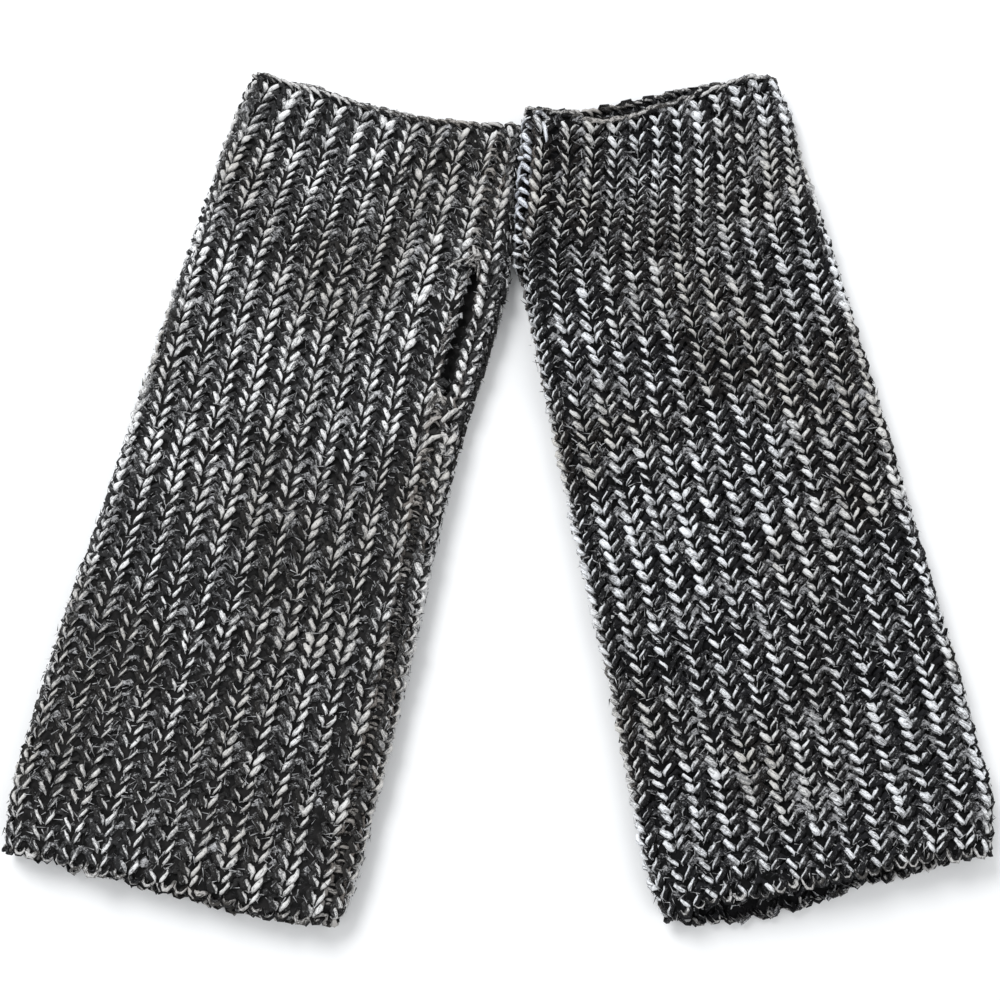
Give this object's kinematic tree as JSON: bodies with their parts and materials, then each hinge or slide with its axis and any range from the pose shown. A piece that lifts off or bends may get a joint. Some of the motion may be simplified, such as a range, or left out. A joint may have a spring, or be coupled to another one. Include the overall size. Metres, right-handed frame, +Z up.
{
  "type": "pair of arm warmers",
  "caption": "Pair of fingerless arm warmers in chunky marled rib knit, tapered open tubes with a thumb opening in the side seam, laid flat side by side.",
  "frame": {"origin": "the middle of the pair's outline as laid flat, at the surface they lie on", "axes": "+Z up from the surface, +Y from the forearm ends towards the hand ends, +X from the left piece to the right one"},
  "size_m": [0.2952, 0.2686, 0.0154],
  "materials": {
    "rib_panel": "matte chunky wool-blend yarn, charcoal and off-white plies twisted together, 1 x 1 rib",
    "knitted_edge": "the same marled yarn, in a bound-off chain at the hand and a cast-on edge at the forearm",
    "sewn_seam": "the same marled yarn, sewn through both selvedges"
  },
  "bodies": {
    "root": {"left_panel": "rib_panel", "left_hand_edge": "knitted_edge", "left_forearm_edge": "knitted_edge", "left_hand_seam": "sewn_seam", "left_forearm_seam": "sewn_seam", "right_panel": "rib_panel", "right_hand_edge": "knitted_edge", "right_forearm_edge": "knitted_edge", "right_hand_seam": "sewn_seam", "right_forearm_seam": "sewn_seam"}
  },
  "joints": []
}
